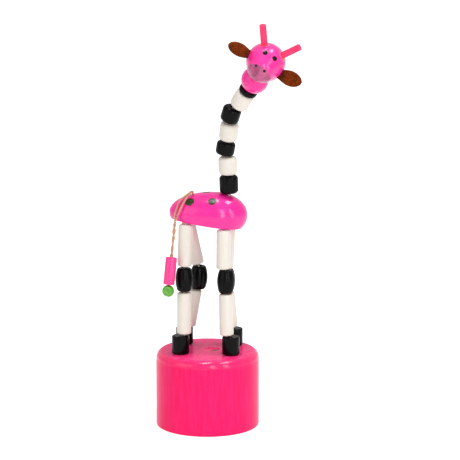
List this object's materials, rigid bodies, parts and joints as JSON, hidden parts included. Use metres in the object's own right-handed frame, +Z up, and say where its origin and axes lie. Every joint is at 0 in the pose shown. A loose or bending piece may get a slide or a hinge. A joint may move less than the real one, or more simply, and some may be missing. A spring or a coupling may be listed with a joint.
{
  "type": "push-up toy",
  "caption": "Push-up giraffe toy: turned beads and dowels on cords above a hollow drum; pressing the sprung button under the drum slackens the cords and the legs, neck and head fold",
  "frame": {"origin": "The middle of the drum foot, in the plane it stands on. The push button underside is 0.8 mm above it.", "axes": "+Z is up, +X is the way the giraffe faces along its body, -Y is its near side, towards which the head looks."},
  "size_m": [0.0629, 0.0515, 0.1748],
  "materials": {
    "drum_paint": "gloss paint on turned wood",
    "body_paint": "high gloss paint on turned wood",
    "horn_paint": "satin paint on dowel",
    "black_paint": "satin paint on turned wood",
    "cream_paint": "satin paint on dowel",
    "felt": "pressed wool felt",
    "twine": "twisted cotton twine",
    "green_paint": "gloss paint on turned wood",
    "bare_wood": "sanded, not painted",
    "cord": "waxed cotton cord",
    "spring_steel": "drawn wire"
  },
  "bodies": {
    "base": {"base": "drum_paint", "spring": "spring_steel", "cord_neck": "cord", "cord_front_far": "cord", "cord_rear_near": "cord", "cord_rear_far": "cord"},
    "button": {"push_button": "bare_wood"},
    "hoof_front_near": {"hoof_front_near": "black_paint"},
    "shin_front_near": {"shin_front_near": "cream_paint"},
    "knee_front_near": {"knee_front_near": "black_paint"},
    "thigh_front_near": {"thigh_front_near": "cream_paint"},
    "hoof_front_far": {"hoof_front_far": "black_paint"},
    "shin_front_far": {"shin_front_far": "cream_paint"},
    "knee_front_far": {"knee_front_far": "black_paint"},
    "thigh_front_far": {"thigh_front_far": "cream_paint"},
    "hoof_rear_near": {"hoof_rear_near": "black_paint"},
    "shin_rear_near": {"shin_rear_near": "cream_paint"},
    "knee_rear_near": {"knee_rear_near": "black_paint"},
    "thigh_rear_near": {"thigh_rear_near": "cream_paint"},
    "hoof_rear_far": {"hoof_rear_far": "black_paint"},
    "shin_rear_far": {"shin_rear_far": "cream_paint"},
    "knee_rear_far": {"knee_rear_far": "black_paint"},
    "thigh_rear_far": {"thigh_rear_far": "cream_paint"},
    "body": {"body": "body_paint", "tail_strands": "twine"},
    "neck_1": {"neck_bead_1": "black_paint"},
    "neck_2": {"neck_bead_2": "cream_paint"},
    "neck_3": {"neck_bead_3": "black_paint"},
    "neck_4": {"neck_bead_4": "cream_paint"},
    "neck_5": {"neck_bead_5": "black_paint"},
    "neck_6": {"neck_bead_6": "cream_paint"},
    "neck_7": {"neck_bead_7": "black_paint"},
    "throat": {"throat_ball": "body_paint"},
    "head": {"head": "body_paint", "horn_left": "horn_paint", "horn_right": "horn_paint", "ear_left": "felt", "ear_right": "felt"},
    "tail": {"tail_twine": "twine", "tail_bead": "body_paint", "tail_ball": "green_paint"}
  },
  "joints": [
    {"name": "button_press", "type": "slide", "parent": "base", "child": "button", "axis": [0, 0, 1], "range_m": [0, 0.009], "stiffness_N_per_m": 300, "springref_m": -0.004, "deforming": ["spring", "cord_neck", "cord_front_far", "cord_rear_near", "cord_rear_far"]},
    {"name": "hoof_front_near_tip", "type": "hinge", "parent": "base", "child": "hoof_front_near", "pos_m": [0.01365, -0.0082, 0.0328], "axis": [0, 1, 0], "range_deg": [0, 6]},
    {"name": "shin_front_near_tip", "type": "hinge", "parent": "hoof_front_near", "child": "shin_front_near", "pos_m": [0.0111, -0.00819, 0.04088], "axis": [0, 1, 0], "range_deg": [0, 40]},
    {"name": "knee_front_near_tip", "type": "hinge", "parent": "shin_front_near", "child": "knee_front_near", "pos_m": [0.00612, -0.00726, 0.05875], "axis": [0, 1, 0], "range_deg": [-46, 0]},
    {"name": "thigh_front_near_tip", "type": "hinge", "parent": "knee_front_near", "child": "thigh_front_near", "pos_m": [0.00502, -0.00672, 0.06895], "axis": [0, 1, 0], "range_deg": [-48, 0]},
    {"name": "hoof_front_far_tip", "type": "hinge", "parent": "base", "child": "hoof_front_far", "pos_m": [0.01365, 0.0082, 0.0328], "axis": [0, 1, 0], "range_deg": [0, 6]},
    {"name": "shin_front_far_tip", "type": "hinge", "parent": "hoof_front_far", "child": "shin_front_far", "pos_m": [0.01148, 0.00818, 0.04072], "axis": [0, 1, 0], "range_deg": [0, 45]},
    {"name": "knee_front_far_tip", "type": "hinge", "parent": "shin_front_far", "child": "knee_front_far", "pos_m": [0.00518, 0.00737, 0.05621], "axis": [0, 1, 0], "range_deg": [-51, 0]},
    {"name": "thigh_front_far_tip", "type": "hinge", "parent": "knee_front_far", "child": "thigh_front_far", "pos_m": [0.00518, 0.00682, 0.06663], "axis": [0, 1, 0], "range_deg": [-51, 0]},
    {"name": "hoof_rear_near_tip", "type": "hinge", "parent": "base", "child": "hoof_rear_near", "pos_m": [-0.00755, -0.0082, 0.0328], "axis": [0, 1, 0], "range_deg": [0, 6]},
    {"name": "shin_rear_near_tip", "type": "hinge", "parent": "hoof_rear_near", "child": "shin_rear_near", "pos_m": [-0.00755, -0.0082, 0.04112], "axis": [0, 1, 0], "range_deg": [0, 37]},
    {"name": "knee_rear_near_tip", "type": "hinge", "parent": "shin_rear_near", "child": "knee_rear_near", "pos_m": [-0.0114, -0.00724, 0.0593], "axis": [0, 1, 0], "range_deg": [-43, 0]},
    {"name": "thigh_rear_near_tip", "type": "hinge", "parent": "knee_rear_near", "child": "thigh_rear_near", "pos_m": [-0.0113, -0.00669, 0.0699], "axis": [0, 1, 0], "range_deg": [-43, 0]},
    {"name": "hoof_rear_far_tip", "type": "hinge", "parent": "base", "child": "hoof_rear_far", "pos_m": [-0.00755, 0.0082, 0.0328], "axis": [0, 1, 0], "range_deg": [0, 6]},
    {"name": "shin_rear_far_tip", "type": "hinge", "parent": "hoof_rear_far", "child": "shin_rear_far", "pos_m": [-0.00753, 0.0082, 0.0406], "axis": [0, 1, 0], "range_deg": [0, 24]},
    {"name": "knee_rear_far_tip", "type": "hinge", "parent": "shin_rear_far", "child": "knee_rear_far", "pos_m": [-0.00677, 0.00731, 0.0573], "axis": [0, 1, 0], "range_deg": [-30, 0]},
    {"name": "thigh_rear_far_tip", "type": "hinge", "parent": "knee_rear_far", "child": "thigh_rear_far", "pos_m": [-0.00721, 0.00677, 0.0676], "axis": [0, 1, 0], "range_deg": [-30, 0]},
    {"name": "body_tip", "type": "hinge", "parent": "thigh_front_near", "child": "body", "pos_m": [0.00968, -0.00585, 0.08551], "axis": [0, 1, 0], "range_deg": [0, 48]},
    {"name": "neck_1_tip", "type": "hinge", "parent": "body", "child": "neck_1", "pos_m": [0.01161, -0.00228, 0.10031], "axis": [0.4226, 0.9063, 0], "range_deg": [0, 10]},
    {"name": "neck_2_tip", "type": "hinge", "parent": "neck_1", "child": "neck_2", "pos_m": [0.01113, -0.00256, 0.1083], "axis": [0.4226, 0.9063, 0], "range_deg": [0, 10]},
    {"name": "neck_3_tip", "type": "hinge", "parent": "neck_2", "child": "neck_3", "pos_m": [0.00963, -0.00305, 0.11622], "axis": [0.4226, 0.9063, 0], "range_deg": [0, 10]},
    {"name": "neck_4_tip", "type": "hinge", "parent": "neck_3", "child": "neck_4", "pos_m": [0.01123, -0.00333, 0.12274], "axis": [0.4226, 0.9063, 0], "range_deg": [0, 10]},
    {"name": "neck_5_tip", "type": "hinge", "parent": "neck_4", "child": "neck_5", "pos_m": [0.01167, -0.00599, 0.13056], "axis": [0.4226, 0.9063, 0], "range_deg": [0, 10]},
    {"name": "neck_6_tip", "type": "hinge", "parent": "neck_5", "child": "neck_6", "pos_m": [0.01546, -0.00744, 0.1366], "axis": [0.4226, 0.9063, 0], "range_deg": [0, 10]},
    {"name": "neck_7_tip", "type": "hinge", "parent": "neck_6", "child": "neck_7", "pos_m": [0.01949, -0.01073, 0.14296], "axis": [0.4226, 0.9063, 0], "range_deg": [0, 10]},
    {"name": "throat_tip", "type": "hinge", "parent": "neck_7", "child": "throat", "pos_m": [0.02095, -0.01309, 0.15007], "axis": [0.4226, 0.9063, 0], "range_deg": [0, 10]},
    {"name": "head_nod", "type": "hinge", "parent": "throat", "child": "head", "pos_m": [0.02095, -0.01309, 0.15007], "axis": [0.4226, 0.9063, 0], "range_deg": [0, 15]},
    {"name": "tail_swing", "type": "hinge", "parent": "body", "child": "tail", "pos_m": [-0.0129, -0.0076, 0.08834], "axis": [0, 1, 0], "range_deg": [-5, 25]}
  ],
  "couplings": [
    {"joint": "hoof_front_near_tip", "follows": "button_press", "rad_per_m": 11.636},
    {"joint": "shin_front_near_tip", "follows": "button_press", "rad_per_m": 77.57},
    {"joint": "knee_front_near_tip", "follows": "button_press", "rad_per_m": -89.206},
    {"joint": "thigh_front_near_tip", "follows": "button_press", "rad_per_m": -93.084},
    {"joint": "hoof_front_far_tip", "follows": "button_press", "rad_per_m": 11.636},
    {"joint": "shin_front_far_tip", "follows": "button_press", "rad_per_m": 87.266},
    {"joint": "knee_front_far_tip", "follows": "button_press", "rad_per_m": -98.902},
    {"joint": "thigh_front_far_tip", "follows": "button_press", "rad_per_m": -98.902},
    {"joint": "hoof_rear_near_tip", "follows": "button_press", "rad_per_m": 11.636},
    {"joint": "shin_rear_near_tip", "follows": "button_press", "rad_per_m": 71.752},
    {"joint": "knee_rear_near_tip", "follows": "button_press", "rad_per_m": -83.388},
    {"joint": "thigh_rear_near_tip", "follows": "button_press", "rad_per_m": -83.388},
    {"joint": "hoof_rear_far_tip", "follows": "button_press", "rad_per_m": 11.636},
    {"joint": "shin_rear_far_tip", "follows": "button_press", "rad_per_m": 46.542},
    {"joint": "knee_rear_far_tip", "follows": "button_press", "rad_per_m": -58.178},
    {"joint": "thigh_rear_far_tip", "follows": "button_press", "rad_per_m": -58.178},
    {"joint": "body_tip", "follows": "button_press", "rad_per_m": 93.084},
    {"joint": "neck_1_tip", "follows": "button_press", "rad_per_m": 19.392},
    {"joint": "neck_2_tip", "follows": "button_press", "rad_per_m": 19.392},
    {"joint": "neck_3_tip", "follows": "button_press", "rad_per_m": 19.392},
    {"joint": "neck_4_tip", "follows": "button_press", "rad_per_m": 19.392},
    {"joint": "neck_5_tip", "follows": "button_press", "rad_per_m": 19.392},
    {"joint": "neck_6_tip", "follows": "button_press", "rad_per_m": 19.392},
    {"joint": "neck_7_tip", "follows": "button_press", "rad_per_m": 19.392},
    {"joint": "throat_tip", "follows": "button_press", "rad_per_m": 19.392},
    {"joint": "head_nod", "follows": "button_press", "rad_per_m": 29.089}
  ]
}
